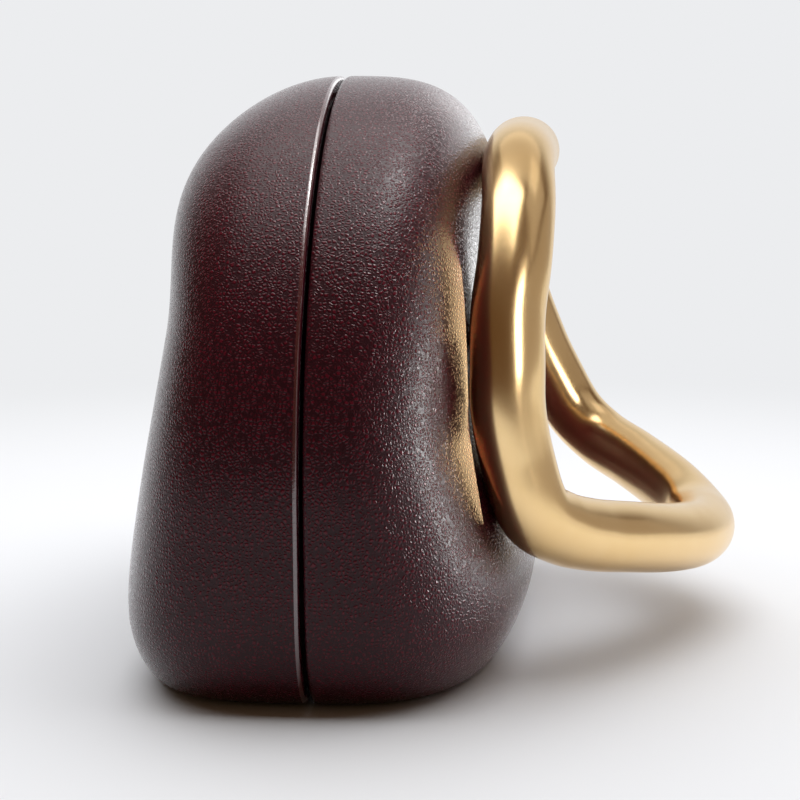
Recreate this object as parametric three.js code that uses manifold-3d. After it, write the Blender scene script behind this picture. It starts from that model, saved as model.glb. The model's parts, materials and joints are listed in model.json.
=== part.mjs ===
// A hard box clutch: two leather-covered half shells hinged along the bottom, with a ring handle of
// round metal tube that is seated on the front shell and bent outwards into a hand loop.
// Millimetres. X is depth with the front at +X, Y is length, Z is up and the base rests on Z = 0.

import * as THREE from 'three';
import { mergeVertices } from 'three/addons/utils/BufferGeometryUtils.js';
import Module from 'manifold-3d';

const wasm = await Module();
wasm.setup();

// Case
const HALF_LENGTH = 89;
const HEIGHT = 118.5;
const GIRTH_Z = 41.2;
const BASE_DROP = 49;
const WALL = 2.8;
const BASE_WALL = 2;
const SPLIT_GAP = 0.8;

// Outline exponents seen from the front: a round dome over a squarer base
const OUTLINE = { dome: 2, base: 3.9, baseZ: -30, domeZ: 5 };

// Depths of each half from the split, the heights between which they change, and the exponents that
// round its edge in section. The front is square-shouldered and the back slopes away from the split.
const FRONT = {
  flare: 43.2, waist: 33.6, shoulder: 37.5, flareZ: 15.1, waistZ: 54.2,
  endEdge: 2.7, topEdge: 3.48, baseEdge: 3.25,
};
const BACK = {
  flare: 41.8, waist: 33.1, shoulder: 49.5, flareZ: 0, waistZ: 68.4,
  endEdge: 3.97, topEdge: 1.98, baseEdge: 3.87,
};

// Handle
const TUBE_RADIUS = 7.2;
const TUBE_WALL = 0.8;
const SEAT_GAP = 0.45;

// Posts, hinge and clasp
const POST = { radius: 1.5, headRadius: 3, headHeight: 1.2, reach: 4, y: 52.3, z: 67 };
const FIT_GAP = 0.3;
const HINGE = { z: 1.5, radius: 1, halfLength: 62, rangeRelief: 45 };
const CLASP = { width: 12, thickness: 1.6, reach: 4, seat: 7, drop: 0.8 };

// Facets
const CASE_FACETS = { around: 56, across: 12 };
const LINING_FACETS = { around: 40, across: 8 };
const TUBE_FACETS = { along: 110, around: 16, boreAround: 12 };
const ROUND_SIDES = 20;
// Below 1 it crowds a face's rings towards its rounded edge
const RING_SPREAD = 0.47;

// Centre line of the ring. A row with no x lies on the front face, which then gives its depth.
// The top rows run from the middle of the top bar down one leg, and both legs share them.
const TOP_ROWS = [
  { y: 0, z: 102.5 },
  { x: 38, y: 22, z: 102.2 },
  { x: 37.6, y: 36, z: 99.6 },
  { x: 37.8, y: 45.5, z: 92.6 },
  { x: 37.2, y: 52, z: 82.4 },
  { y: 56, z: 72 },
];
// Below, the near leg stays on the face and bends sharply, and the far leg leaves it higher up.
const NEAR_LEG_ROWS = [
  { y: -58, z: 62.4 },
  { y: -58.6, z: 54.6 },
  { y: -58.3, z: 45.4 },
  { y: -57.2, z: 34.6 },
];
const LOOP_ROWS = [
  { x: 46.2, y: -52.3, z: 30.5 },
  { x: 52.2, y: -45.3, z: 27.7 },
  { x: 60.6, y: -35, z: 25.2 },
  { x: 69.4, y: -21, z: 22.3 },
  { x: 75.8, y: -7, z: 20.4 },
  { x: 78.5, y: 5, z: 19.9 },
  { x: 77.9, y: 18, z: 20.3 },
  { x: 72.9, y: 32, z: 23.9 },
  { x: 65, y: 45, z: 28 },
  { x: 57.4, y: 53, z: 31.9 },
  { x: 51.2, y: 56, z: 37.6 },
  { x: 46.1, y: 57, z: 46.2 },
  { x: 41.2, y: 57, z: 56.4 },
];

function smooth(low, high, value) {
  const t = Math.min(Math.max((value - low) / (high - low), 0), 1);
  return t * t * (3 - 2 * t);
}

// Depth of a half on its middle section: flared at the base, waisted, fuller at the shoulder
function halfDepth(half, z, inset) {
  const flare = (half.flare - half.waist) * (1 - smooth(half.flareZ, half.waistZ, z));
  const shoulder = (half.shoulder - half.waist) * smooth(half.waistZ, HEIGHT, z);
  return half.waist + flare + shoulder - inset;
}

// How far a point of the front view lies from the middle of the case, 1 on the outline
function outlineReach(y, rise, inset) {
  const power = OUTLINE.base
    - (OUTLINE.base - OUTLINE.dome) * smooth(OUTLINE.baseZ, OUTLINE.domeZ, rise);
  const tall = (rise > 0 ? HEIGHT - GIRTH_Z : BASE_DROP) - inset;
  const side = Math.abs(y) / (HALF_LENGTH - inset);
  return Math.pow(Math.pow(side, power) + Math.pow(Math.abs(rise) / tall, power), 1 / power);
}

// Depth of a half's face over a point of the front view, 0 outside the outline
function faceDepth(half, y, z, inset) {
  const rise = z - GIRTH_Z;
  const reach = outlineReach(y, rise, inset);
  if (reach >= 1) {
    return 0;
  }
  const tall = rise > 0 ? HEIGHT - GIRTH_Z : BASE_DROP;
  const upright = (rise / tall) ** 2;
  const sideways = (y / HALF_LENGTH) ** 2;
  const steep = upright / Math.max(upright + sideways, 1e-9);
  const edge = half.endEdge + ((rise > 0 ? half.topEdge : half.baseEdge) - half.endEdge) * steep;
  return halfDepth(half, z, inset) * Math.pow(1 - Math.pow(reach, edge), 1 / edge);
}

// The outline point in one direction from the middle of the case, found by halving
function outlinePoint(angle, inset) {
  const sideways = Math.cos(angle) * HALF_LENGTH;
  const upright = Math.sin(angle) * (Math.sin(angle) > 0 ? HEIGHT - GIRTH_Z : BASE_DROP);
  let low = 0.5;
  let high = 1.5;
  for (let step = 0; step < 40; step += 1) {
    const middle = (low + high) / 2;
    if (outlineReach(sideways * middle, upright * middle, inset) < 1) {
      low = middle;
    } else {
      high = middle;
    }
  }
  return { y: sideways * low, rise: upright * low };
}

function geometryOf(positions, faces) {
  const geometry = new THREE.BufferGeometry();
  geometry.setAttribute('position', new THREE.Float32BufferAttribute(positions, 3));
  geometry.setIndex(faces);
  return geometry;
}

// A closed pebble: two crowned faces that meet on the outline
function pebble(inset, facets) {
  const frontMiddle = halfDepth(FRONT, GIRTH_Z, inset);
  const backMiddle = -halfDepth(BACK, GIRTH_Z, inset);
  const positions = [frontMiddle, 0, GIRTH_Z, backMiddle, 0, GIRTH_Z];
  const faces = [];
  const { around, across } = facets;
  const outline = [];
  for (let turn = 0; turn < around; turn += 1) {
    outline.push(outlinePoint((turn / around) * 2 * Math.PI, inset));
  }
  const rings = [];
  const addRing = (half, side, share) => {
    const first = positions.length / 3;
    for (const point of outline) {
      const y = point.y * share;
      const z = GIRTH_Z + point.rise * share;
      positions.push(share < 1 ? side * faceDepth(half, y, z, inset) : 0, y, z);
    }
    rings.push(first);
  };
  const shareAt = (step) => Math.pow(Math.sin((step / across) * (Math.PI / 2)), RING_SPREAD);
  for (let step = 1; step <= across; step += 1) {
    addRing(FRONT, 1, shareAt(step));
  }
  for (let step = across - 1; step >= 1; step -= 1) {
    addRing(BACK, -1, shareAt(step));
  }
  for (let turn = 0; turn < around; turn += 1) {
    const next = (turn + 1) % around;
    faces.push(0, rings[0] + turn, rings[0] + next);
    for (let ring = 0; ring < rings.length - 1; ring += 1) {
      const inner = rings[ring];
      const outer = rings[ring + 1];
      faces.push(inner + turn, outer + turn, outer + next);
      faces.push(inner + turn, outer + next, inner + next);
    }
    const last = rings[rings.length - 1];
    faces.push(1, last + next, last + turn);
  }
  return geometryOf(positions, faces);
}

function solid(geometry) {
  const bare = geometry.clone();
  bare.deleteAttribute('normal');
  bare.deleteAttribute('uv');
  const merged = mergeVertices(bare.index ? bare : mergeVertices(bare), 1e-4);
  const mesh = new wasm.Mesh({
    numProp: 3,
    vertProperties: new Float32Array(merged.attributes.position.array),
    triVerts: new Uint32Array(merged.index.array),
  });
  mesh.merge();
  return new wasm.Manifold(mesh);
}

function geometryFrom(body) {
  const mesh = body.getMesh();
  return geometryOf(Array.from(mesh.vertProperties), Array.from(mesh.triVerts));
}

function boxBetween(low, high) {
  const size = new THREE.Vector3().subVectors(high, low);
  const box = new THREE.BoxGeometry(size.x, size.y, size.z);
  const middle = new THREE.Vector3().addVectors(low, high).multiplyScalar(0.5);
  box.translate(middle.x, middle.y, middle.z);
  return box;
}

function rodAlongY(radius, halfLength, z) {
  const rod = new THREE.CylinderGeometry(radius, radius, 2 * halfLength, ROUND_SIDES);
  rod.translate(0, 0, z);
  return rod;
}

// Where a ball of the given radius comes to rest on the front face
function seatDepth(y, z, radius) {
  const steps = 12;
  let depth = 0;
  for (let ring = 0; ring <= steps; ring += 1) {
    const away = (ring / steps) * radius;
    for (let turn = 0; turn < 4 * steps; turn += 1) {
      const angle = (turn / (4 * steps)) * 2 * Math.PI;
      const face = faceDepth(FRONT, y + away * Math.cos(angle), z + away * Math.sin(angle), 0);
      depth = Math.max(depth, face + Math.sqrt(radius * radius - away * away));
    }
  }
  return depth;
}

// Across the top, down the near leg, round the loop and up the far leg
function handleCurve() {
  const place = (row, side) => {
    const depth = row.x ?? seatDepth(row.y, row.z, TUBE_RADIUS + SEAT_GAP);
    return new THREE.Vector3(depth, side * row.y, row.z);
  };
  const rows = [
    ...TOP_ROWS.map((row) => place(row, -1)),
    ...NEAR_LEG_ROWS.map((row) => place(row, 1)),
    ...LOOP_ROWS.map((row) => place(row, 1)),
    ...TOP_ROWS.slice(1).reverse().map((row) => place(row, 1)),
  ];
  return new THREE.CatmullRomCurve3(rows, true, 'centripetal');
}

function ringTube(curve, radius, around) {
  return new THREE.TubeGeometry(curve, TUBE_FACETS.along, radius, around, true);
}

// A round post along X with a flat head on the inside of the wall
function postAt(y, inner, outer, spare) {
  const neck = POST.radius + spare;
  const profile = [
    new THREE.Vector2(0, inner - POST.headHeight - spare),
    new THREE.Vector2(POST.headRadius + spare, inner - POST.headHeight - spare),
    new THREE.Vector2(POST.headRadius + spare, inner),
    new THREE.Vector2(neck, inner),
    new THREE.Vector2(neck, outer + spare),
    new THREE.Vector2(0, outer + spare),
  ];
  const post = new THREE.LatheGeometry(profile, ROUND_SIDES);
  post.rotateZ(-Math.PI / 2);
  post.translate(0, y, POST.z);
  return post;
}

const far = 2 * HALF_LENGTH;
const aboveBase = boxBetween(new THREE.Vector3(-far, -far, BASE_WALL), new THREE.Vector3(far, far, far));
const cavity = solid(pebble(WALL, LINING_FACETS)).intersect(solid(aboveBase));
const caseSolid = solid(pebble(0, CASE_FACETS)).subtract(cavity);
const rim = SPLIT_GAP / 2;
const frontHalf = solid(boxBetween(new THREE.Vector3(rim, -far, 0), new THREE.Vector3(far, far, far)));
const backHalf = solid(boxBetween(new THREE.Vector3(-far, -far, 0), new THREE.Vector3(-rim, far, far)));

// Room for the hinge pin and, below it, for the two lower edges to turn as the case opens
const pinRoom = solid(rodAlongY(HINGE.radius + FIT_GAP, HINGE.halfLength + FIT_GAP, HINGE.z));
const notchWidth = HINGE.z * Math.tan(THREE.MathUtils.degToRad(HINGE.rangeRelief)) + rim;
const notchShape = new THREE.Shape([
  new THREE.Vector2(-notchWidth, 0),
  new THREE.Vector2(notchWidth, 0),
  new THREE.Vector2(0, -HINGE.z - rim),
]);
const notchGeometry = new THREE.ExtrudeGeometry(notchShape, { depth: 2 * far, bevelEnabled: false });
notchGeometry.rotateX(-Math.PI / 2);
notchGeometry.translate(0, -far, 0);
const notch = solid(notchGeometry);

const curve = handleCurve();
const tubeSolid = solid(ringTube(curve, TUBE_RADIUS, TUBE_FACETS.around));
const boreSolid = solid(ringTube(curve, TUBE_RADIUS - TUBE_WALL, TUBE_FACETS.boreAround));

const postSeat = faceDepth(FRONT, POST.y, POST.z, WALL) - FIT_GAP;
const postEnd = faceDepth(FRONT, POST.y, POST.z, 0) + POST.reach;
const postSides = [-1, 1];
const postRooms = postSides.map((side) => {
  const room = postAt(side * POST.y, postSeat + FIT_GAP, postEnd, FIT_GAP);
  return solid(room);
});

function cutAll(body, tools) {
  return tools.reduce((left, tool) => left.subtract(tool), body);
}

const frontShell = cutAll(caseSolid.intersect(frontHalf), [pinRoom, notch, ...postRooms]);
const backShell = cutAll(caseSolid.intersect(backHalf), [pinRoom, notch]);
const handle = cutAll(tubeSolid.subtract(boreSolid), postRooms);

const claspTop = HEIGHT - WALL - CLASP.drop;
const clasp = boxBetween(
  new THREE.Vector3(-CLASP.reach, -CLASP.width / 2, claspTop - CLASP.thickness),
  new THREE.Vector3(CLASP.seat, CLASP.width / 2, claspTop),
);

const leather = new THREE.MeshStandardMaterial({ color: '#3a1219', roughness: 0.45, metalness: 0 });
const gold = new THREE.MeshStandardMaterial({ color: '#c99a4b', roughness: 0.28, metalness: 1 });
const steel = new THREE.MeshStandardMaterial({ color: '#9a9590', roughness: 0.4, metalness: 1 });

const clutch = new THREE.Group();

function addPiece(name, geometry, material) {
  const mesh = new THREE.Mesh(geometry, material);
  mesh.name = name;
  clutch.add(mesh);
}

addPiece('front_shell', geometryFrom(frontShell), leather);
addPiece('back_shell', geometryFrom(backShell), leather);
addPiece('handle', geometryFrom(handle), gold);
addPiece('handle_post_near', postAt(-POST.y, postSeat, postEnd, 0), gold);
addPiece('handle_post_far', postAt(POST.y, postSeat, postEnd, 0), gold);
addPiece('hinge_pin', rodAlongY(HINGE.radius, HINGE.halfLength, HINGE.z), steel);
addPiece('clasp', clasp, steel);

// The origin is under the middle of the whole object, handle included
const bounds = new THREE.Box3().setFromObject(clutch);
clutch.position.x = -(bounds.min.x + bounds.max.x) / 2;

export default clutch;
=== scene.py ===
"""Box clutch: two burgundy leather shells hinged at the base, with a satin brass ring as its handle.

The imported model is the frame: X is the depth with the handle at the front, Y the length, Z up from the floor.
Both shells and the ring are drawn again, smooth and rounded, in the places of their solids.
"""

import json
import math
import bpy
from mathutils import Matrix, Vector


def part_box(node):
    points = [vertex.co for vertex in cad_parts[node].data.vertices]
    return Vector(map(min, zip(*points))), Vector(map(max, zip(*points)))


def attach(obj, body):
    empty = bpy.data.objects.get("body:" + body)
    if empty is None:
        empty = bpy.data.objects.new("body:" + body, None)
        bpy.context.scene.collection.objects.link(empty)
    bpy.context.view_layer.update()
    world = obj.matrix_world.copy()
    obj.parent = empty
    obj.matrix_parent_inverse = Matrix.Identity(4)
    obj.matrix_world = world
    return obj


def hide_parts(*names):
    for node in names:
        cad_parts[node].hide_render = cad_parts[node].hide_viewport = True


bl_info = {
    "name": "Box Clutch",
    "version": (1, 0, 0),
    "blender": (4, 5, 0),
    "location": "View3D > Sidebar > Box Clutch",
    "description": "Builds a leather box clutch with a ring handle on its packed frame",
    "category": "Add Mesh",
}

import bpy
import numpy as np
from bpy.props import FloatProperty, FloatVectorProperty, IntProperty, PointerProperty
from mathutils import Matrix, Quaternion, Vector

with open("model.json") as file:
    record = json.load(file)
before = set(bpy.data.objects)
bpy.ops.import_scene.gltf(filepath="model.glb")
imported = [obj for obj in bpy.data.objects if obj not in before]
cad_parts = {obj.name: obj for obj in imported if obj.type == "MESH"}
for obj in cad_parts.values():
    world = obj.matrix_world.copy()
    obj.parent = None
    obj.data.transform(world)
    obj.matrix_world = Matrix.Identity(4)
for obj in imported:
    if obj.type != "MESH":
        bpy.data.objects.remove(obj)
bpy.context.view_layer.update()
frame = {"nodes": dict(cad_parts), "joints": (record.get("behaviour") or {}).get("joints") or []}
SHELL_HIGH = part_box("back_shell")[1]
PIN_LOW, PIN_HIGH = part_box("hinge_pin")
HINGE = Vector(frame["joints"][0]["pos_m"])

MM = 0.001
SENSOR_WIDTH = 36

# Steps of the meshes: over the turned rim, across its flat, round to the lining, and along a ring's span.
RIM_STEPS = 8
FLAT_STEPS = 3
LINING_STEPS = 4
SPAN_STEPS = 14

# The material slots of a shell.
LEATHER_SLOT, EDGE_SLOT, SUEDE_SLOT = range(3)

# The ring's centre line in millimetres, from the split plane. The top runs from its middle to the far side,
# and the near side mirrors it. The near leg follows, then the loop, which ends in the far leg.
# A row with no x lies on the leather: its depth is where a ball of the tube's size comes to rest.
TOP_ROWS = [
    {"y": 0, "z": 102.5},
    {"x": 38, "y": 22, "z": 102.2},
    {"x": 37.6, "y": 36, "z": 99.6},
    {"x": 37.8, "y": 45.5, "z": 92.6},
    {"x": 37.2, "y": 52, "z": 82.4},
    {"y": 56, "z": 72},
]
NEAR_LEG_ROWS = [
    {"y": -58, "z": 62.4},
    {"y": -58.6, "z": 54.6},
    {"y": -58.3, "z": 45.4},
    {"y": -57.2, "z": 34.6},
]
LOOP_ROWS = [
    {"x": 46.2, "y": -52.3, "z": 30.5},
    {"x": 52.2, "y": -45.3, "z": 27.7},
    {"x": 60.6, "y": -35, "z": 25.2},
    {"x": 69.4, "y": -21, "z": 22.3},
    {"x": 75.8, "y": -7, "z": 20.4},
    {"x": 78.5, "y": 5, "z": 19.9},
    {"x": 77.9, "y": 18, "z": 20.3},
    {"x": 72.9, "y": 32, "z": 23.9},
    {"x": 65, "y": 45, "z": 28},
    {"x": 57.4, "y": 53, "z": 31.9},
    {"x": 51.2, "y": 56, "z": 37.6},
    {"x": 46.1, "y": 57, "z": 46.2},
    {"x": 41.2, "y": 57, "z": 56.4},
]

# Softboxes of the stage, in metres. The glow is what a mirror shows of a rectangle, and 1 is paper white.
# Some are kept to one finish, as flags and small cards do in a studio, and the fill has no reflection.
# A turn swings a box in its own plane, in degrees.
# The gold card leans on the ring, in the place of the ring's reflection in the leather.
SOFTBOXES = [
    {"name": "sky_fill", "place": (0, 1.4, 2.5), "aim": (0, 1.4, 0),
     "size": (5, 5), "glow": 2.2, "only": "diffuse"},
    {"name": "top_box", "place": (0.08, 0.25, 1.15), "aim": (0.08, 0.25, 0),
     "size": (1.2, 1.0), "glow": 2.6, "only": "leather"},
    {"name": "top_key", "place": (0.38, 0.2, 1.12), "aim": (0.03, -0.05, 0.1),
     "size": (0.22, 0.2), "glow": 27.0, "only": "leather"},
    {"name": "side_low", "place": (0.94, 0.18, 0.1), "aim": (0.02, -0.07, 0.06),
     "size": (0.22, 0.09), "glow": 60.0, "only": "leather"},
    {"name": "side_high", "place": (0.88, 0.2, 0.38), "aim": (0.02, -0.07, 0.06),
     "size": (0.4, 0.36), "glow": 3.2, "only": "leather"},
    {"name": "side_graze", "place": (0.68, 0.61, 0.08), "aim": (0.02, -0.07, 0.04),
     "size": (0.5, 0.16), "glow": 10.0, "only": "leather"},
    {"name": "gold_card", "place": (0.0064, -0.0599, 0.06), "aim": (-0.1636, -0.1599, 0.06),
     "size": (0.0042, 0.064), "shape": "ELLIPSE", "turn": -8, "glow": 3.4, "colour": "#f2cf9c",
     "only": "leather"},
    {"name": "back_card", "place": (0.55, 1.1, 0.36), "aim": (0, 0, 0.1),
     "size": (1.0, 0.7), "glow": 1.0, "only": "leather"},
    {"name": "edge_card", "place": (0.55, -0.3, 0.2), "aim": (-0.02, -0.09, 0.06),
     "size": (0.2, 0.4), "glow": 0.36, "only": "leather"},
    {"name": "corner_card", "place": (-0.7, -0.2, 1.09), "aim": (-0.7, -0.2, 0),
     "size": (1.9, 0.65), "turn": -27, "glow": 3.0, "only": "brass"},
    {"name": "strip_card", "place": (0.315, -0.466, 0.22), "aim": (0.015, -0.066, 0.07),
     "size": (0.15, 0.23), "glow": 8.0, "only": "brass"},
    {"name": "right_card", "place": (0.85, -0.1, 0.2), "aim": (0.015, -0.06, 0.07),
     "size": (1.3, 0.5), "glow": 0.27, "only": "brass"},
    {"name": "shoulder_card", "place": (0.72, -0.08, 0.86), "aim": (0.015, -0.05, 0.09),
     "size": (0.9, 0.7), "glow": 0.35, "only": "brass"},
    {"name": "crown_card", "place": (0.1, 0.4, 1.0), "aim": (0.1, 0.4, 0),
     "size": (1.5, 1.05), "glow": 0.5, "only": "brass"},
]


def linear(hex_colour):
    """Linear red, green and blue of an sRGB hex colour."""
    shares = [int(hex_colour[start:start + 2], 16) / 255 for start in (1, 3, 5)]
    return tuple(c / 12.92 if c <= 0.04045 else ((c + 0.055) / 1.055) ** 2.4 for c in shares)


def length_of(name, description, default):
    """A length in metres as a property."""
    return FloatProperty(
        name=name, description=description, default=default, min=0, unit="LENGTH", precision=4
    )


def number_of(name, description, default):
    """A number with no unit as a property."""
    return FloatProperty(name=name, description=description, default=default)


def count_of(name, description, default, least):
    """A whole number as a property."""
    return IntProperty(name=name, description=description, default=default, min=least)


def angle_of(name, description, degrees):
    """An angle as a property, from its value in degrees."""
    return FloatProperty(
        name=name, description=description, default=math.radians(degrees), subtype="ANGLE"
    )


def colour_of(name, description, hex_colour):
    """A colour as a property, from its sRGB hex value."""
    return FloatVectorProperty(
        name=name, description=description, default=linear(hex_colour), min=0, max=1, subtype="COLOR", size=3
    )


class ClutchCaseSizes(bpy.types.PropertyGroup):
    half_length: length_of("Half length", "From the middle to either end of the case", SHELL_HIGH.y)
    height: length_of("Height", "From the floor to the top of the case", SHELL_HIGH.z)
    girth_height: length_of("Girth height", "Where the case is longest", 41.2 * MM)
    base_drop: length_of("Base drop", "From the girth to the form's lowest point, before the cut", 49 * MM)
    wall: length_of("Wall", "Thickness of the leather over its board", 2.8 * MM)
    floor_wall: length_of("Floor wall", "Thickness of the base", 2 * MM)
    split_gap: length_of("Split gap", "Between the two rims", 0.8 * MM)
    lining_round: length_of("Lining round", "Radius at the inner side of the rim", 0.5 * MM)
    base_round: length_of("Base round", "Height over which the sides turn into the flat base", 2.2 * MM)
    pin_room: length_of("Pin room", "Between the hinge pin and the shells", 0.3 * MM)
    dome_rise: length_of("Dome rise", "Above the girth, from where the outline is a plain dome", 5 * MM)
    dome_power: number_of("Dome power", "Roundness of the outline's upper part", 2.0)
    corner_drop: length_of("Corner drop", "Below the girth, from where the corners are fully square", 30 * MM)
    base_power: number_of("Base power", "Squareness of the outline's lower corners", 3.9)
    around: count_of("Around", "Faces round a shell", 288, 24)
    across: count_of("Across", "Faces from the middle of a face to its rim", 72, 8)


class ClutchFrontSizes(bpy.types.PropertyGroup):
    flare: length_of("Flare", "Depth near the base", 43.2 * MM)
    waist: length_of("Waist", "Depth at the waist", 33.6 * MM)
    shoulder: length_of("Shoulder", "Depth towards the top", 37.5 * MM)
    flare_height: length_of("Flare height", "Below it the depth stays at the flare", 15.1 * MM)
    waist_height: length_of("Waist height", "Where the front is slimmest", 54.2 * MM)
    end_edge: number_of("End edge", "Squareness of the section at the ends", 2.7)
    top_edge: number_of("Top edge", "Squareness of the section at the top", 3.48)
    base_edge: number_of("Base edge", "Squareness of the section at the base", 3.25)
    rim_round: length_of("Rim round", "Radius of the leather that is turned over the rim", 1.1 * MM)


class ClutchBackSizes(bpy.types.PropertyGroup):
    flare: length_of("Flare", "Depth at the base", 41.8 * MM)
    waist: length_of("Waist", "Depth at the waist", 33.1 * MM)
    shoulder: length_of("Shoulder", "Depth towards the top", 49.5 * MM)
    flare_height: length_of("Flare height", "Below it the depth stays at the flare", 0.0)
    waist_height: length_of("Waist height", "Where the back is slimmest", 68.4 * MM)
    end_edge: number_of("End edge", "Squareness of the section at the ends", 3.97)
    top_edge: number_of("Top edge", "Squareness of the section at the top", 1.98)
    base_edge: number_of("Base edge", "Squareness of the section at the base", 3.87)
    rim_round: length_of("Rim round", "Radius of the leather that is turned over the rim", 0.9 * MM)


class ClutchHandleSizes(bpy.types.PropertyGroup):
    tube_radius: length_of("Tube radius", "Outer radius of the ring's tube", 7.2 * MM)
    seat_gap: length_of("Seat gap", "Between the tube and the leather that it lies on", 0.1 * MM)
    around: count_of("Around", "Faces round the tube", 64, 8)
    along: count_of("Along", "Faces along the ring", 420, 24)


class ClutchFinishes(bpy.types.PropertyGroup):
    leather: colour_of("Leather", "Top of the leather's grain", "#4f0e1b")
    # Painted shade: the leather's colour darkened in the grain's creases and in the dips of the edge's lumps.
    leather_crease_painted_shade: colour_of("Leather crease", "Dye that gathers in the grain's creases", "#260910")
    suede: colour_of("Suede", "Inside of the shells", "#3f1a20")
    brass: colour_of("Brass", "Polished brass under clear lacquer", "#f9d9a4")
    brass_dull: colour_of("Dull brass", "Where hands have dulled the polish", "#f0cb8f")
    steel: colour_of("Steel", "Nickel-plated steel fittings", "#b9b4ab")
    floor: colour_of("Floor", "Pale seamless paper", "#e7ebf0")
    air: colour_of("Air", "Pale background that the floor melts into", "#ecedef")
    room: colour_of("Room", "Dark warm room behind the camera", "#5c4630")


class ClutchStageSizes(bpy.types.PropertyGroup):
    lens: number_of("Lens", "Focal length in millimetres", 89.8)
    camera_place: FloatVectorProperty(
        name="Camera",
        description="Where the camera stands",
        default=(0.0193, -0.4347, 0.1079),
        subtype="TRANSLATION",
    )
    camera_yaw: angle_of("Camera yaw", "Turn to the left of +Y", 4.056)
    camera_pitch: angle_of("Camera pitch", "Tilt below the horizon", 7.835)
    light_level: number_of("Light level", "Brightness of all the softboxes", 1.0)


def add_node(tree, kind, settings=None, inputs=None):
    """A node with its settings; an input is set to a value, or linked where it is given an output."""
    node = tree.nodes.new(kind)
    for name, value in (settings or {}).items():
        setattr(node, name, value)
    for name, value in (inputs or {}).items():
        if isinstance(value, bpy.types.NodeSocket):
            tree.links.new(value, node.inputs[name])
        else:
            node.inputs[name].default_value = value
    return node


def new_material(name):
    """An empty node material, and its tree to fill."""
    material = bpy.data.materials.new(name)
    material.use_nodes = True
    material.node_tree.nodes.clear()
    return material, material.node_tree


def opaque(colour):
    return (*colour, 1.0)


def grained_leather(colours):
    """Calf leather, drum dyed, plated with a fine pebble grain and finished semi-gloss.

    The eye sees rounded cells of about 0.7 mm that sparkle one by one where light glances off, painted shade
    in the creases, slow changes of tone over the hide, and little shine where it is seen head on.
    The flank of a cell is a share of the grain, and the pores are a share of the relief.
    """
    grain = 0.74 * MM
    flank = 0.42
    wander = 1.9 * MM
    stray = 0.7 * MM
    pore = 0.2 * MM
    pore_share = 0.35
    hide = 34 * MM
    relief = 0.08 * MM
    material, tree = new_material("calf_leather_pebbled")
    place = add_node(tree, "ShaderNodeTexCoord").outputs["Object"]
    drift = add_node(tree, "ShaderNodeTexNoise", None, {"Vector": place, "Scale": 1 / wander, "Detail": 2.0})
    pull = add_node(
        tree,
        "ShaderNodeVectorMath",
        {"operation": "SCALE"},
        {"Vector": drift.outputs["Color"], "Scale": stray},
    )
    warped = add_node(
        tree, "ShaderNodeVectorMath", {"operation": "ADD"}, {0: place, 1: pull.outputs["Vector"]}
    ).outputs["Vector"]
    cells = add_node(
        tree,
        "ShaderNodeTexVoronoi",
        {"feature": "DISTANCE_TO_EDGE"},
        {"Vector": warped, "Scale": 1 / grain, "Randomness": 0.9},
    ).outputs["Distance"]
    dome = add_node(
        tree,
        "ShaderNodeMapRange",
        {"interpolation_type": "SMOOTHERSTEP"},
        {"Value": cells, "From Max": flank},
    ).outputs["Result"]
    pores = add_node(
        tree,
        "ShaderNodeTexNoise",
        None,
        {"Vector": place, "Scale": 1 / pore, "Detail": 3.0, "Roughness": 0.6},
    ).outputs["Fac"]
    height = add_node(
        tree, "ShaderNodeMath", {"operation": "MULTIPLY_ADD"}, {0: pores, 1: pore_share, 2: dome}
    ).outputs["Value"]
    bump = add_node(tree, "ShaderNodeBump", None, {"Height": height, "Strength": 1.0, "Distance": relief})
    glaze = add_node(tree, "ShaderNodeBump", None, {"Height": height, "Strength": 0.7, "Distance": relief})
    tone = add_node(
        tree, "ShaderNodeTexNoise", None, {"Vector": place, "Scale": 1 / hide, "Detail": 3.0}
    ).outputs["Fac"]
    # Painted shade: the colour darkens from the cells' tops into the creases between them.
    dyed_and_crease_shaded = add_node(
        tree,
        "ShaderNodeMix",
        {"data_type": "RGBA"},
        {"Factor": dome, "A": opaque(colours.leather_crease_painted_shade), "B": opaque(colours.leather)},
    )
    shade = add_node(
        tree, "ShaderNodeMapRange", None, {"Value": tone, "To Min": 0.84, "To Max": 1.16}
    ).outputs["Result"]
    colour = add_node(
        tree, "ShaderNodeHueSaturation", None, {"Color": dyed_and_crease_shaded.outputs["Result"], "Value": shade}
    ).outputs["Color"]
    rough = add_node(
        tree, "ShaderNodeMapRange", None, {"Value": dome, "To Min": 0.34, "To Max": 0.14}
    ).outputs["Result"]
    shader = add_node(
        tree,
        "ShaderNodeBsdfPrincipled",
        None,
        {
            "Base Color": colour,
            "Roughness": rough,
            "IOR": 1.5,
            "Specular IOR Level": 0.2,
            "Coat Weight": 1.0,
            "Coat Roughness": 0.17,
            "Coat IOR": 1.12,
            "Normal": bump.outputs["Normal"],
            "Coat Normal": glaze.outputs["Normal"],
        },
    )
    add_node(tree, "ShaderNodeOutputMaterial", None, {"Surface": shader.outputs["BSDF"]})
    return material


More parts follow.
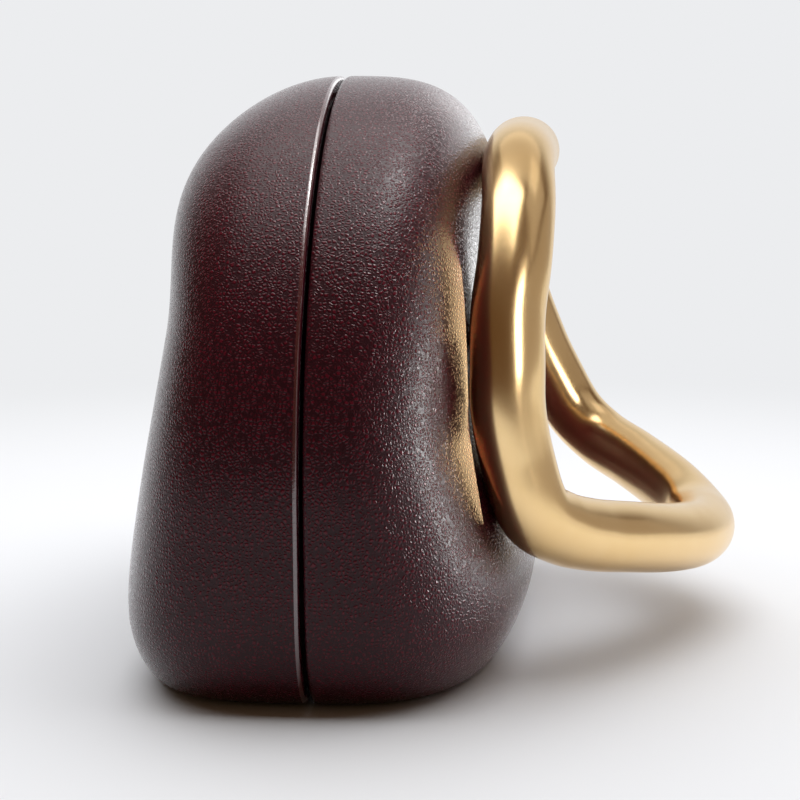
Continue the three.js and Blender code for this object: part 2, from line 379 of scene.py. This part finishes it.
def burnished_edge(colours):
    """Leather edge, painted and burnished.

    The eye sees a hard thin shine along the rim, broken by the grain.
    """
    grain = 0.74 * MM
    relief = 0.12 * MM
    material, tree = new_material("leather_edge_burnished")
    place = add_node(tree, "ShaderNodeTexCoord").outputs["Object"]
    lumps = add_node(
        tree, "ShaderNodeTexNoise", None, {"Vector": place, "Scale": 1 / grain, "Detail": 2.0}
    ).outputs["Fac"]
    # Painted shade: the colour darkens towards the crease colour where the lumps dip.
    colour = add_node(
        tree,
        "ShaderNodeMix",
        {"data_type": "RGBA"},
        {"Factor": lumps, "A": opaque(colours.leather_crease_painted_shade), "B": opaque(colours.leather)},
    )
    bump = add_node(tree, "ShaderNodeBump", None, {"Height": lumps, "Strength": 0.8, "Distance": relief})
    shader = add_node(
        tree,
        "ShaderNodeBsdfPrincipled",
        None,
        {
            "Base Color": colour.outputs["Result"],
            "Roughness": 0.25,
            "IOR": 1.7,
            "Coat Weight": 1.0,
            "Coat Roughness": 0.15,
            "Coat IOR": 1.8,
            "Normal": bump.outputs["Normal"],
        },
    )
    add_node(tree, "ShaderNodeOutputMaterial", None, {"Surface": shader.outputs["BSDF"]})
    return material


def brushed_suede(colours):
    """Goat suede, brushed. The nap gives the eye a soft mottled tone, a faint sheen and no highlight."""
    nap = 0.6 * MM
    nap_share = 0.6
    pile = 0.15 * MM
    patch = 9 * MM
    material, tree = new_material("goat_suede_brushed")
    place = add_node(tree, "ShaderNodeTexCoord").outputs["Object"]
    fibres = add_node(
        tree,
        "ShaderNodeTexNoise",
        None,
        {"Vector": place, "Scale": 1 / nap, "Detail": 4.0, "Roughness": 0.7},
    ).outputs["Fac"]
    patches = add_node(
        tree, "ShaderNodeTexNoise", None, {"Vector": place, "Scale": 1 / patch, "Detail": 2.0}
    ).outputs["Fac"]
    mottle = add_node(
        tree, "ShaderNodeMath", {"operation": "MULTIPLY_ADD"}, {0: fibres, 1: nap_share, 2: patches}
    ).outputs["Value"]
    shade = add_node(
        tree,
        "ShaderNodeMapRange",
        None,
        {"Value": mottle, "From Max": 1 + nap_share, "To Min": 0.6, "To Max": 1.4},
    ).outputs["Result"]
    colour = add_node(
        tree, "ShaderNodeHueSaturation", None, {"Color": opaque(colours.suede), "Value": shade}
    ).outputs["Color"]
    bump = add_node(tree, "ShaderNodeBump", None, {"Height": fibres, "Strength": 0.5, "Distance": pile})
    shader = add_node(
        tree,
        "ShaderNodeBsdfPrincipled",
        None,
        {
            "Base Color": colour,
            "Roughness": 0.92,
            "Specular IOR Level": 0.2,
            "Sheen Weight": 0.35,
            "Sheen Roughness": 0.5,
            "Normal": bump.outputs["Normal"],
        },
    )
    add_node(tree, "ShaderNodeOutputMaterial", None, {"Surface": shader.outputs["BSDF"]})
    return material


def satin_brass(colours):
    """Brass tube, bent, polished to a satin and lacquered.

    The eye sees soft-edged reflections in warm gold, slightly clouded where hands have dulled the polish.
    """
    cloud = 11 * MM
    haze = 0.5 * MM
    haze_depth = 0.02 * MM
    material, tree = new_material("brass_polished_satin")
    place = add_node(tree, "ShaderNodeTexCoord").outputs["Object"]
    clouds = add_node(
        tree,
        "ShaderNodeTexNoise",
        None,
        {"Vector": place, "Scale": 1 / cloud, "Detail": 4.0, "Roughness": 0.6},
    ).outputs["Fac"]
    grit = add_node(
        tree, "ShaderNodeTexNoise", None, {"Vector": place, "Scale": 1 / haze, "Detail": 2.0}
    ).outputs["Fac"]
    colour = add_node(
        tree,
        "ShaderNodeMix",
        {"data_type": "RGBA"},
        {"Factor": clouds, "A": opaque(colours.brass), "B": opaque(colours.brass_dull)},
    )
    rough = add_node(
        tree, "ShaderNodeMapRange", None, {"Value": clouds, "To Min": 0.18, "To Max": 0.28}
    ).outputs["Result"]
    bump = add_node(tree, "ShaderNodeBump", None, {"Height": grit, "Strength": 0.06, "Distance": haze_depth})
    shader = add_node(
        tree,
        "ShaderNodeBsdfPrincipled",
        None,
        {
            "Base Color": colour.outputs["Result"],
            "Metallic": 1.0,
            "Roughness": rough,
            "Normal": bump.outputs["Normal"],
        },
    )
    add_node(tree, "ShaderNodeOutputMaterial", None, {"Surface": shader.outputs["BSDF"]})
    return material


def plated_steel(colours):
    """Steel, turned and nickel plated. Fine turning marks run round each fitting and break up its shine."""
    turning = 0.3 * MM
    turning_depth = 0.03 * MM
    round_y = (0.2, 1.0, 0.2)
    material, tree = new_material("steel_turned_nickel_plated")
    place = add_node(tree, "ShaderNodeTexCoord").outputs["Object"]
    drawn_out = add_node(
        tree, "ShaderNodeMapping", {"vector_type": "POINT"}, {"Vector": place, "Scale": round_y}
    ).outputs["Vector"]
    marks = add_node(
        tree, "ShaderNodeTexNoise", None, {"Vector": drawn_out, "Scale": 1 / turning, "Detail": 2.0}
    ).outputs["Fac"]
    rough = add_node(
        tree, "ShaderNodeMapRange", None, {"Value": marks, "To Min": 0.28, "To Max": 0.42}
    ).outputs["Result"]
    bump = add_node(
        tree, "ShaderNodeBump", None, {"Height": marks, "Strength": 0.2, "Distance": turning_depth}
    )
    shader = add_node(
        tree,
        "ShaderNodeBsdfPrincipled",
        None,
        {
            "Base Color": opaque(colours.steel),
            "Metallic": 1.0,
            "Roughness": rough,
            "Normal": bump.outputs["Normal"],
        },
    )
    add_node(tree, "ShaderNodeOutputMaterial", None, {"Surface": shader.outputs["BSDF"]})
    return material


def pale_paper(colours):
    """Seamless studio paper, matt. It takes soft shadows near the object and melts into the background."""
    fade_start = 0.1
    fade_end = 0.44
    material, tree = new_material("paper_seamless_matt")
    place = add_node(tree, "ShaderNodeTexCoord").outputs["Object"]
    distance = add_node(tree, "ShaderNodeVectorMath", {"operation": "LENGTH"}, {0: place}).outputs["Value"]
    fade = add_node(
        tree,
        "ShaderNodeMapRange",
        {"interpolation_type": "SMOOTHSTEP"},
        {"Value": distance, "From Min": fade_start, "From Max": fade_end},
    ).outputs["Result"]
    paper = add_node(tree, "ShaderNodeBsdfDiffuse", None, {"Color": opaque(colours.floor)})
    glow = add_node(tree, "ShaderNodeEmission", None, {"Color": opaque(colours.air), "Strength": 1.0})
    blend = add_node(
        tree,
        "ShaderNodeMixShader",
        None,
        {"Fac": fade, 1: paper.outputs["BSDF"], 2: glow.outputs["Emission"]},
    )
    add_node(tree, "ShaderNodeOutputMaterial", None, {"Surface": blend.outputs["Shader"]})
    return material


def smooth_step(low, high, value):
    share = np.clip((value - low) / (high - low), 0, 1)
    return share * share * (3 - 2 * share)


class HalfForm:
    """One half of the case's pebble form: an outline in Y and Z, and a depth in X from the split plane."""

    def __init__(self, sizes, half):
        self.sizes = sizes
        self.half = half

    def half_depth(self, z, inset=0.0):
        h = self.half
        flare = (h.flare - h.waist) * (1 - smooth_step(h.flare_height, h.waist_height, z))
        shoulder = (h.shoulder - h.waist) * smooth_step(h.waist_height, self.sizes.height, z)
        return h.waist + flare + shoulder - inset

    def tall(self, rise):
        return np.where(rise > 0, self.sizes.height - self.sizes.girth_height, self.sizes.base_drop)

    def reach(self, y, rise, inset=0.0):
        """How far out a point lies: 0 at the middle and 1 on the outline."""
        s = self.sizes
        rounding = smooth_step(-s.corner_drop, s.dome_rise, rise)
        power = s.base_power - (s.base_power - s.dome_power) * rounding
        side = np.abs(y) / (s.half_length - inset)
        upright = np.abs(rise) / (self.tall(rise) - inset)
        return (side ** power + upright ** power) ** (1 / power)

    def edge_power(self, y, rise):
        """Squareness of the section, from the ends' value to the top's or the base's."""
        h = self.half
        nearly_none = 1e-12
        upright = (rise / self.tall(rise)) ** 2
        sideways = (y / self.sizes.half_length) ** 2
        steep = upright / np.maximum(upright + sideways, nearly_none)
        return h.end_edge + (np.where(rise > 0, h.top_edge, h.base_edge) - h.end_edge) * steep

    def depth(self, y, z, inset=0.0):
        rise = z - self.sizes.girth_height
        reach = np.minimum(self.reach(y, rise, inset), 1)
        edge = self.edge_power(y, rise)
        return self.half_depth(z, inset) * np.maximum(1 - reach ** edge, 0) ** (1 / edge)

    def on_ray(self, angle, reach, inset=0.0):
        """Y and rise of the points at that reach on rays from the middle, found by halving."""
        past_outline = 1.5
        halvings = 45
        sideways = np.cos(angle) * self.sizes.half_length
        upright = np.sin(angle) * self.tall(np.sin(angle))
        low = np.zeros(np.broadcast(angle, reach).shape)
        high = np.full_like(low, past_outline)
        for _ in range(halvings):
            middle = (low + high) / 2
            inside = self.reach(sideways * middle, upright * middle, inset) < reach
            low = np.where(inside, middle, low)
            high = np.where(inside, high, middle)
        return sideways * low, upright * low

    def rest_depth(self, y, z, radius):
        """X of the centre of a ball that lies against the face at Y and Z."""
        circles = np.linspace(0, radius, 13)
        spokes = np.linspace(0, 2 * np.pi, 48, endpoint=False)
        away, turn = np.meshgrid(circles, spokes)
        face = self.depth(y + away * np.cos(turn), z + away * np.sin(turn))
        return float(np.max(face + np.sqrt(np.maximum(radius ** 2 - away ** 2, 0))))


def soft_floor(z, floor, blend):
    """Z kept above the floor, with a soft turn instead of a crease."""
    over = z - floor
    curve = (over + blend) ** 2 / (4 * blend)
    return floor + np.where(over > blend, over, np.where(over < -blend, 0, curve))


def section_rings(form, angle, steps, rim_depth, inset):
    """Rings of X, Y and Z from the middle of a face to its rim."""
    edge = form.edge_power(np.cos(angle) * form.sizes.half_length, np.sin(angle) * form.tall(np.sin(angle)))
    last_turn = math.atan(form.half.waist / rim_depth)
    rings = []
    for turn in np.linspace(0, last_turn, steps + 1)[1:]:
        scale = (math.sin(turn) ** edge + math.cos(turn) ** edge) ** (-1 / edge)
        y, rise = form.on_ray(angle, math.sin(turn) * scale, inset)
        z = rise + form.sizes.girth_height
        rings.append(np.stack([np.maximum(form.depth(y, z, inset), rim_depth), y, z], -1))
    rings[-1][:, 0] = rim_depth
    return rings


def rim_rings(form, angle):
    """Rings over the turned rim, from the leather's face to the lining."""
    s = form.sizes
    rim_round = form.half.rim_round
    flat = s.split_gap / 2
    profile = []
    for turn in np.linspace(0, math.pi / 2, RIM_STEPS + 1)[1:]:
        profile.append((rim_round * (1 - math.cos(turn)), flat + rim_round * (1 - math.sin(turn))))
    for inset in np.linspace(rim_round, s.wall - s.lining_round, FLAT_STEPS + 1)[1:]:
        profile.append((inset, flat))
    for turn in np.linspace(0, math.pi / 2, LINING_STEPS + 1)[1:-1]:
        inset = s.wall - s.lining_round * (1 - math.sin(turn))
        profile.append((inset, flat + s.lining_round * (1 - math.cos(turn))))
    rings = []
    for inset, x in profile:
        y, rise = form.on_ray(angle, np.ones_like(angle), inset)
        rings.append(np.stack([np.full_like(y, x), y, rise + s.girth_height], -1))
    return rings


def clear_of_hinge(points, sizes):
    """Points moved out of the hinge pin's room, and of the notch below it that lets the case open."""
    pin_radius = (PIN_HIGH.z - PIN_LOW.z) / 2
    room = pin_radius + sizes.pin_room
    x, y, z = points.T
    below = np.maximum(HINGE.z - z, 0)
    notch = np.where(z < HINGE.z, sizes.split_gap / 2 + below, 0)
    beside = np.sqrt(np.maximum(room ** 2 - (z - HINGE.z) ** 2, 0))
    pocket = np.where(np.abs(y) < PIN_HIGH.y + sizes.pin_room, beside, 0)
    return np.stack([np.maximum(x, np.maximum(notch, pocket)), y, z], -1)


def ring_mesh(name, rings, first, last, flip):
    """A closed mesh over rings of points, with a point at each end."""
    count = len(rings[0])
    points = np.concatenate([[first], *rings, [last]])
    faces = []
    for i in range(count):
        after = (i + 1) % count
        faces.append((0, 1 + i, 1 + after))
        for ring in range(len(rings) - 1):
            here = 1 + ring * count
            faces.append((here + i, here + count + i, here + count + after, here + after))
        end = 1 + (len(rings) - 1) * count
        faces.append((end + i, len(points) - 1, end + after))
    if flip:
        faces = [face[::-1] for face in faces]
    mesh = bpy.data.meshes.new(name)
    mesh.from_pydata(points.tolist(), [], faces)
    mesh.shade_smooth()
    return mesh


def shell_mesh(name, form, side):
    """One shell: leather outside and over the rim, suede inside, on that side of the split plane."""
    s = form.sizes
    angle = np.linspace(0, 2 * np.pi, s.around, endpoint=False)
    outer = section_rings(form, angle, s.across, s.split_gap / 2 + form.half.rim_round, 0.0)
    rim = rim_rings(form, angle)
    inner = section_rings(form, angle, s.across // 2, s.split_gap / 2 + s.lining_round, s.wall)[::-1]
    for ring in outer + rim:
        ring[:, 2] = soft_floor(ring[:, 2], 0.0, s.base_round)
    for ring in inner:
        ring[:, 2] = soft_floor(ring[:, 2], s.floor_wall, s.base_round / 2)
    first = (form.half_depth(s.girth_height), 0.0, s.girth_height)
    last = (form.half_depth(s.girth_height, s.wall), 0.0, s.girth_height)
    place = np.array([side, 1.0, 1.0])
    shift = np.array([HINGE.x, 0.0, 0.0])
    rings = [clear_of_hinge(ring, s) * place + shift for ring in outer + rim + inner]
    mesh = ring_mesh(name, rings, np.array(first) * place + shift, np.array(last) * place + shift, side < 0)
    return mesh, (len(outer), len(outer) + RIM_STEPS, len(outer) + len(rim))


def add_object(name, mesh):
    piece = bpy.data.objects.new(name, mesh)
    bpy.context.scene.collection.objects.link(piece)
    return piece


def light_group(finish):
    """The collection of the pieces that have the softboxes of that finish."""
    name = "lit_" + finish
    return bpy.data.collections.get(name) or bpy.data.collections.new(name)


class CLUTCH_OT_case_shells(bpy.types.Operator):
    """Build the front and the back shell in leather with suede inside"""

    bl_idname = "clutch.case_shells"
    bl_label = "Case Shells"

    def execute(self, context):
        scene = context.scene
        colours = scene.clutch_finishes
        finishes = (grained_leather(colours), burnished_edge(colours), brushed_suede(colours))
        for body, half, side in (("front", scene.clutch_front, 1), ("back", scene.clutch_back, -1)):
            form = HalfForm(scene.clutch_case, half)
            mesh, (edge_ring, flat_ring, lining_ring) = shell_mesh(body + "_shell_leather", form, side)
            for finish in finishes:
                mesh.materials.append(finish)
            for polygon in mesh.polygons:
                ring = (min(polygon.vertices) - 1) // form.sizes.around + 1
                polygon.material_index = LEATHER_SLOT
                if ring >= lining_ring:
                    polygon.material_index = SUEDE_SLOT
                elif body == "back" and edge_ring <= ring < flat_ring:
                    polygon.material_index = EDGE_SLOT
            piece = add_object(mesh.name, mesh)
            light_group("leather").objects.link(piece)
            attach(piece, body)
            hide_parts(body + "_shell")
        return {"FINISHED"}


def ring_points(form, handle):
    """Points of the ring's centre line in metres, smooth and closed."""
    ball = handle.tube_radius + handle.seat_gap
    near_top = [{**row, "y": -row["y"]} for row in TOP_ROWS]
    corners = []
    for row in near_top + NEAR_LEG_ROWS + LOOP_ROWS + TOP_ROWS[:0:-1]:
        y = row["y"] * MM
        z = row["z"] * MM
        x = row["x"] * MM if "x" in row else form.rest_depth(y, z, ball)
        corners.append(np.array([HINGE.x + x, y, z]))
    return closed_curve(corners, SPAN_STEPS)


def closed_curve(corners, per_span):
    """Points of a closed centripetal Catmull-Rom curve through the corners."""
    points = []
    count = len(corners)
    for i in range(count):
        a, b, c, d = (corners[(i + k - 1) % count] for k in range(4))
        knot_b = np.linalg.norm(b - a) ** 0.5
        knot_c = knot_b + np.linalg.norm(c - b) ** 0.5
        knot_d = knot_c + np.linalg.norm(d - c) ** 0.5
        for t in np.linspace(knot_b, knot_c, per_span, endpoint=False):
            ab = a + (b - a) * t / knot_b
            bc = b + (c - b) * (t - knot_b) / (knot_c - knot_b)
            cd = c + (d - c) * (t - knot_c) / (knot_d - knot_c)
            abc = ab + (bc - ab) * t / knot_c
            bcd = bc + (cd - bc) * (t - knot_b) / (knot_d - knot_b)
            points.append(abc + (bcd - abc) * (t - knot_b) / (knot_c - knot_b))
    return points


def tube_tree():
    """A node tree that sweeps a round tube along a closed path."""
    tree = bpy.data.node_groups.new("bent_tube", "GeometryNodeTree")
    sockets = (
        ("Path", "INPUT", "NodeSocketGeometry"),
        ("Tube Radius", "INPUT", "NodeSocketFloat"),
        ("Around", "INPUT", "NodeSocketInt"),
        ("Along", "INPUT", "NodeSocketInt"),
        ("Finish", "INPUT", "NodeSocketMaterial"),
        ("Tube", "OUTPUT", "NodeSocketGeometry"),
    )
    for name, direction, kind in sockets:
        tree.interface.new_socket(name, in_out=direction, socket_type=kind)
    given = add_node(tree, "NodeGroupInput").outputs
    even = add_node(
        tree,
        "GeometryNodeResampleCurve",
        {"mode": "COUNT"},
        {"Curve": given["Path"], "Count": given["Along"]},
    )
    section = add_node(
        tree,
        "GeometryNodeCurvePrimitiveCircle",
        {"mode": "RADIUS"},
        {"Resolution": given["Around"], "Radius": given["Tube Radius"]},
    )
    swept = add_node(
        tree,
        "GeometryNodeCurveToMesh",
        None,
        {"Curve": even.outputs["Curve"], "Profile Curve": section.outputs["Curve"]},
    )
    smooth = add_node(tree, "GeometryNodeSetShadeSmooth", None, {"Geometry": swept.outputs["Mesh"]})
    real = add_node(tree, "GeometryNodeRealizeInstances", None, {"Geometry": smooth.outputs["Geometry"]})
    finish = add_node(
        tree,
        "GeometryNodeSetMaterial",
        None,
        {"Geometry": real.outputs["Geometry"], "Material": given["Finish"]},
    )
    add_node(tree, "NodeGroupOutput", None, {"Tube": finish.outputs["Geometry"]})
    return tree


class CLUTCH_OT_ring_handle(bpy.types.Operator):
    """Sweep the ring handle's tube along its bent path"""

    bl_idname = "clutch.ring_handle"
    bl_label = "Ring Handle"

    def execute(self, context):
        handle = context.scene.clutch_handle
        front = HalfForm(context.scene.clutch_case, context.scene.clutch_front)
        points = ring_points(front, handle)
        path = bpy.data.curves.new("ring_path", "CURVE")
        path.dimensions = "3D"
        spline = path.splines.new("POLY")
        spline.points.add(len(points) - 1)
        for knot, point in zip(spline.points, points):
            knot.co = (*point, 1.0)
        spline.use_cyclic_u = True
        guide = add_object("ring_path", path)
        tree = tube_tree()
        modifier = guide.modifiers.new("bent_tube", "NODES")
        modifier.node_group = tree
        values = {
            "Tube Radius": handle.tube_radius,
            "Around": handle.around,
            "Along": handle.along,
            "Finish": satin_brass(context.scene.clutch_finishes),
        }
        for item in tree.interface.items_tree:
            if item.name in values:
                modifier[item.identifier] = values[item.name]
        context.view_layer.update()
        mesh = bpy.data.meshes.new_from_object(guide.evaluated_get(context.evaluated_depsgraph_get()))
        mesh.name = "ring_handle_brass"
        bpy.data.objects.remove(guide)
        piece = add_object(mesh.name, mesh)
        light_group("brass").objects.link(piece)
        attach(piece, "front")
        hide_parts("handle")
        return {"FINISHED"}


class CLUTCH_OT_hidden_fittings(bpy.types.Operator):
    """Finish the posts in brass, and the hinge pin and the clasp in plated steel"""

    bl_idname = "clutch.hidden_fittings"
    bl_label = "Hidden Fittings"

    def execute(self, context):
        steel = plated_steel(context.scene.clutch_finishes)
        brass = bpy.data.materials["brass_polished_satin"]
        finishes = {"handle_post_near": brass, "handle_post_far": brass, "hinge_pin": steel, "clasp": steel}
        for name, finish in finishes.items():
            materials = frame["nodes"][name].data.materials
            materials.clear()
            materials.append(finish)
        return {"FINISHED"}


def add_softbox(row, level):
    """A softbox that faces a point, kept to one finish or to matt light where its row says so."""
    light = bpy.data.lights.new(row["name"], "AREA")
    light.shape = row.get("shape", "RECTANGLE")
    light.size, light.size_y = row["size"]
    light.energy = math.pi * light.size * light.size_y * row["glow"] * level
    light.color = linear(row.get("colour", "#ffffff"))
    lamp = add_object(row["name"], light)
    lamp.location = row["place"]
    facing = (Vector(row["aim"]) - lamp.location).to_track_quat("-Z", "Y")
    swing = Quaternion((0, 0, 1), math.radians(row.get("turn", 0)))
    lamp.rotation_euler = (facing @ swing).to_euler()
    only = row.get("only")
    lamp.visible_camera = False
    lamp.visible_glossy = only != "diffuse"
    if only in ("leather", "brass"):
        lamp.light_linking.receiver_collection = light_group(only)


class CLUTCH_OT_stage(bpy.types.Operator):
    """Set the pale floor, the softboxes and the camera"""

    bl_idname = "clutch.stage"
    bl_label = "Stage"

    def execute(self, context):
        scene = context.scene
        stage = scene.clutch_stage
        # The paper ends behind the camera, where the room is dark.
        reach = 6.0
        front_edge = -0.5
        corners = [(-reach, front_edge, 0), (reach, front_edge, 0), (reach, reach, 0), (-reach, reach, 0)]
        floor = bpy.data.meshes.new("paper_floor")
        floor.from_pydata(corners, [], [(0, 1, 2, 3)])
        floor.materials.append(pale_paper(scene.clutch_finishes))
        add_object("paper_floor", floor)
        for row in SOFTBOXES:
            add_softbox(row, stage.light_level)
        self.set_world(scene)
        self.set_camera(scene, stage)
        scene.view_settings.view_transform = "Standard"
        return {"FINISHED"}

    def set_world(self, scene):
        """Pale studio air: bright behind the object, dark and warm behind the camera."""
        dark_until = 0.45
        pale_from = 0.9
        pale = opaque(scene.clutch_finishes.air)
        dark = opaque(scene.clutch_finishes.room)
        world = bpy.data.worlds.new("studio_air")
        world.use_nodes = True
        tree = world.node_tree
        tree.nodes.clear()
        towards = add_node(tree, "ShaderNodeTexCoord").outputs["Generated"]
        back = add_node(tree, "ShaderNodeSeparateXYZ", None, {"Vector": towards}).outputs["Y"]
        share = add_node(
            tree,
            "ShaderNodeMapRange",
            {"interpolation_type": "SMOOTHSTEP"},
            {"Value": back, "From Min": dark_until, "From Max": pale_from},
        ).outputs["Result"]
        seen = add_node(tree, "ShaderNodeLightPath").outputs["Is Camera Ray"]
        graded = add_node(
            tree, "ShaderNodeMix", {"data_type": "RGBA"}, {"Factor": share, "A": dark, "B": pale}
        ).outputs["Result"]
        lit = add_node(tree, "ShaderNodeBackground", None, {"Color": graded, "Strength": 1.0})
        plain = add_node(tree, "ShaderNodeBackground", None, {"Color": pale, "Strength": 1.0})
        choice = add_node(
            tree,
            "ShaderNodeMixShader",
            None,
            {"Fac": seen, 1: lit.outputs["Background"], 2: plain.outputs["Background"]},
        )
        add_node(tree, "ShaderNodeOutputWorld", None, {"Surface": choice.outputs["Shader"]})
        scene.world = world

    def set_camera(self, scene, stage):
        camera = bpy.data.cameras.new("camera")
        camera.lens = stage.lens
        camera.sensor_width = SENSOR_WIDTH
        camera.clip_start = 0.01
        viewer = add_object("camera", camera)
        turn = Matrix.Rotation(stage.camera_yaw, 4, "Z")
        tilt = Matrix.Rotation(math.pi / 2 - stage.camera_pitch, 4, "X")
        viewer.matrix_world = Matrix.Translation(stage.camera_place) @ turn @ tilt
        scene.camera = viewer


class CLUTCH_PT_parts(bpy.types.Panel):
    """Buttons that build the clutch piece by piece"""

    bl_idname = "CLUTCH_PT_parts"
    bl_label = "Box Clutch"
    bl_space_type = "VIEW_3D"
    bl_region_type = "UI"
    bl_category = "Box Clutch"

    def draw(self, context):
        for operator in OPERATORS:
            self.layout.operator(operator.bl_idname)


OPERATORS = (CLUTCH_OT_case_shells, CLUTCH_OT_ring_handle, CLUTCH_OT_hidden_fittings, CLUTCH_OT_stage)
SETTINGS = {
    "clutch_case": ClutchCaseSizes,
    "clutch_front": ClutchFrontSizes,
    "clutch_back": ClutchBackSizes,
    "clutch_handle": ClutchHandleSizes,
    "clutch_finishes": ClutchFinishes,
    "clutch_stage": ClutchStageSizes,
}


def register():
    for group in (*SETTINGS.values(), *OPERATORS, CLUTCH_PT_parts):
        bpy.utils.register_class(group)
    for name, group in SETTINGS.items():
        setattr(bpy.types.Scene, name, PointerProperty(type=group))


def unregister():
    for name in SETTINGS:
        delattr(bpy.types.Scene, name)
    for group in reversed((*SETTINGS.values(), *OPERATORS, CLUTCH_PT_parts)):
        bpy.utils.unregister_class(group)


def main():
    register()
    bpy.ops.clutch.case_shells()
    bpy.ops.clutch.ring_handle()
    bpy.ops.clutch.hidden_fittings()
    bpy.ops.clutch.stage()


if __name__ == "__main__":
    main()
